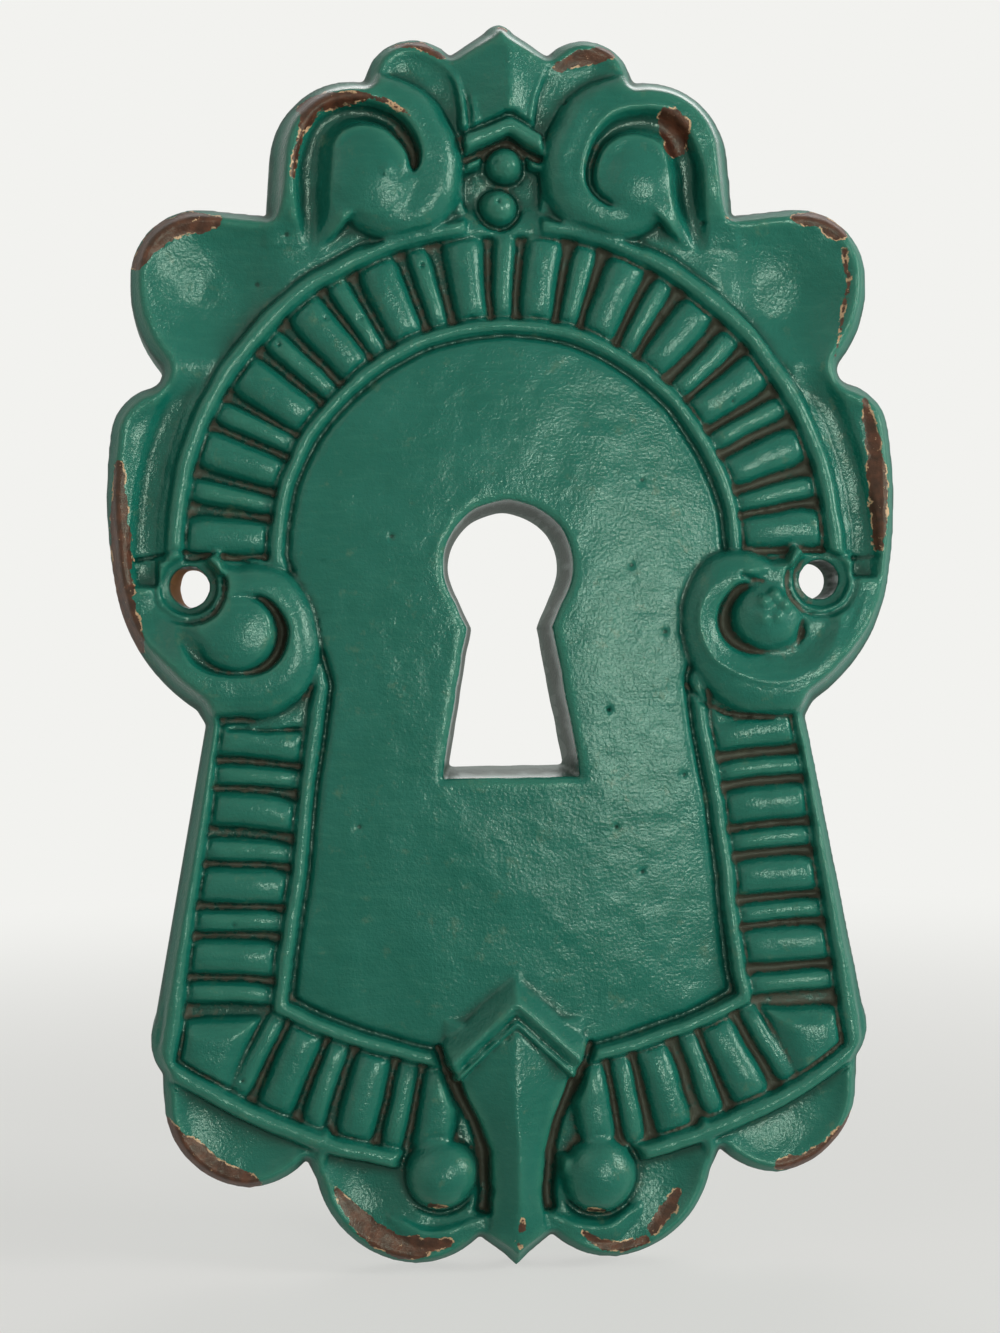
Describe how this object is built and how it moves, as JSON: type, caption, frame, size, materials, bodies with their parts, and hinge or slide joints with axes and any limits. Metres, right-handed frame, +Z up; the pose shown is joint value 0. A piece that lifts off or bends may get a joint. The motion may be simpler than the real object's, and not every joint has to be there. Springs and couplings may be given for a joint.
{
  "type": "keyhole escutcheon",
  "caption": "Ornate cast keyhole plate with scrolled wings, a reeded arched border, a pendant foot and two screw holes.",
  "frame": {"origin": "midway between the two screw holes, on the flat back face", "axes": "+Z up the plate to its crest, -Y out of the carved front, +X to the right seen from the front"},
  "size_m": [0.1006, 0.0126, 0.158],
  "materials": {
    "painted_casting": "semi-gloss"
  },
  "bodies": {
    "root": {"escutcheon": "painted_casting"}
  },
  "joints": []
}
